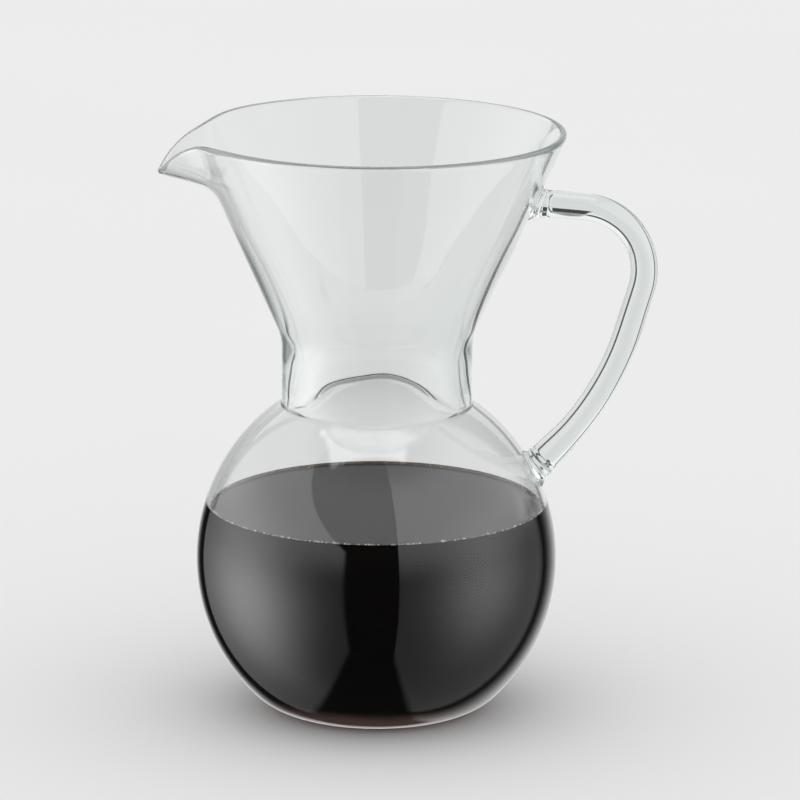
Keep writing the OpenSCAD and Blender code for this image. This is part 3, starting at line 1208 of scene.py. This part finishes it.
    def window_light(self) -> Socket:
        """Give the brightness seen through the glass: a pale tent with dark gaps and a dark card behind."""
        right = self.band(self.turn, self.gap_right, self.gap_softness)
        right = self.shader.math("MULTIPLY", right, self.gap_right_share)
        left = self.band(self.turn, self.gap_left, self.gap_softness)
        down = self.shader.math("MULTIPLY", self.z, -math.sin(self.camera_rise))
        ahead = self.shader.math("MULTIPLY_ADD", self.y, math.cos(self.camera_rise), down)
        ring = self.band(self.shader.math("ARCCOSINE", ahead), self.gap_ring, self.gap_softness)
        ring_side = self.shader.ease(self.x, *self.gap_ring_side, 0.0, self.gap_ring_share)
        ring = self.shader.math("MULTIPLY", ring, ring_side)
        darkest = self.shader.math("MAXIMUM", self.shader.math("MAXIMUM", right, left), ring)
        gaps = self.shader.ease(darkest, 0.0, 1.0, 1.0, self.gap_level)
        card = self.between(self.x, self.card_across, self.card_softness)
        card = self.shader.math("MULTIPLY", card, self.shader.ease(self.y, *self.card_behind))
        card_rows = self.band(self.rise, self.card_rise, self.card_rise_softness)
        card = self.shader.math("MULTIPLY", card, card_rows)
        stripe = self.band(self.rise, self.stripe_rise, self.stripe_softness)
        card_level = self.shader.math("MULTIPLY_ADD", stripe, self.stripe_level, self.card_level)
        share = self.shader.blend(card, gaps, card_level)
        level = self.shader.ease_angle(self.rise, self.wall_rise, *self.wall_levels)
        fade = self.shader.ease_angle(self.rise, self.wall_fade, 1.0, self.wall_faded)
        level = self.shader.math("MULTIPLY", level, fade)
        return self.shader.math("ADD", self.shader.math("MULTIPLY", share, level), self.roof())

    def build(self) -> None:
        """Show diffuse surfaces an even level, and reflections and clear glass a light each."""
        path = self.shader.add("LightPath").outputs
        plain = self.shader.blend(path["Is Glossy Ray"], self.tent_level, self.mirror_light())
        level = self.shader.blend(path["Is Transmission Ray"], plain, self.window_light())
        sky = self.shader.add("Background", Color=WHITE, Strength=level)
        self.shader.fill(self.shader.add("OutputWorld").inputs["Surface"], sky.outputs[0])


@dataclass
class Studio:
    """Floor, light and camera."""

    camera_distance: float = 2.0
    camera_rise: float = math.radians(14.07)
    camera_roll: float = math.radians(0.29)
    camera_reach: float = 50.0
    target: tuple[float, float, float] = (0.0, 0.0, 0.105)
    aim: tuple[float, float, float] = (0.00829, 0.0, 0.1133)
    focal_px: float = 5560.0
    frame_px: float = 800.0
    sensor_mm: float = 36.0
    floor_r: float = 6.0
    floor_sides: int = 64
    floor_pale: Colour = (0.80, 0.80, 0.80, 1.0)
    floor_paler: Colour = (0.82, 0.82, 0.82, 1.0)

    def build_camera(self) -> bpy.types.Object:
        """Place the camera where the photograph was taken from."""
        data = bpy.data.cameras.new("photo_camera")
        data.sensor_width = self.sensor_mm
        data.lens = self.focal_px / self.frame_px * self.sensor_mm
        data.clip_end = self.camera_reach
        camera = bpy.data.objects.new("photo_camera", data)
        back = Vector((0.0, -math.cos(self.camera_rise), math.sin(self.camera_rise)))
        camera.location = Vector(self.target) + back * self.camera_distance
        look = (Vector(self.aim) - camera.location).to_track_quat("-Z", "Y")
        camera.rotation_euler = (look.to_matrix() @ Matrix.Rotation(self.camera_roll, 3, "Z")).to_euler()
        bpy.context.scene.collection.objects.link(camera)
        bpy.context.scene.camera = camera
        return camera

    def build_floor(self) -> bpy.types.Object:
        """Make the plain pale floor."""
        made, shader = new_material("pale_floor")
        cloud = shader.noise(shader.place(), scale=3.0, detail=2.0)
        colour = shader.mix(cloud, self.floor_pale, self.floor_paler)
        shader.show(shader.add("BsdfPrincipled", Base_Color=colour, Roughness=0.9, Specular_IOR_Level=0.0))
        bm = bmesh.new()
        bmesh.ops.create_circle(bm, cap_ends=True, segments=self.floor_sides, radius=self.floor_r)
        floor = new_object("floor", bm, [made])
        floor.visible_glossy = False
        floor.visible_transmission = False
        return floor

    def build_light(self) -> None:
        """Make the world that holds the light tent."""
        world = bpy.data.worlds.new("light_tent")
        bpy.context.scene.world = world
        world.use_nodes = True
        LightTent(Shader(world.node_tree), self.camera_rise).build()

    def build(self) -> None:
        """Make the whole stage."""
        self.build_floor()
        self.build_light()
        self.build_camera()


def main() -> None:
    """Build the stage and every piece of the carafe, in order."""
    logging.basicConfig(level=logging.INFO, format="%(name)s: %(message)s")
    bpy.context.scene.view_settings.view_transform = "Standard"
    Studio().build()
    low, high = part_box("vessel")
    surface = blown_surface_group()
    wall_glass = GlassFinish("blown_glass", wave_size=34 * MM, wave_height=0.05 * MM).material(surface)
    rod_glass = GlassFinish("rod_glass", wave_size=14 * MM, wave_height=0.05 * MM).material(surface)
    weld_glass = GlassFinish("weld_glass", wave_size=3 * MM, wave_height=0.06 * MM).material(surface)
    vessel = Vessel(height=high.z, rim_r=(high.y - low.y) / 2)
    coffee = Coffee(vessel, level=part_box("coffee")[1].z)
    pieces = [vessel.build(wall_glass)]
    pieces += RodHandle(vessel).build(rod_glass, weld_glass)
    top = CoffeeSurfaceFinish(level=coffee.level, climb=coffee.climb).material()
    pieces.append(coffee.build_body(CoffeeBodyFinish().material(), top))
    clear_foam = FoamFinish("clear_bubbles", (0.86, 0.85, 0.82, 1.0), (0.55, 0.5, 0.42, 1.0)).material()
    brown_foam = FoamFinish("brown_froth", (0.46, 0.36, 0.20, 1.0), (0.22, 0.14, 0.06, 1.0)).material()
    pieces.append(coffee.build_bubbles(clear_foam))
    pieces.append(coffee.build_froth(brown_foam))
    for piece in pieces:
        log.info("%s: %d faces", piece.name, len(piece.data.polygons))


if __name__ == "__main__":
    main()
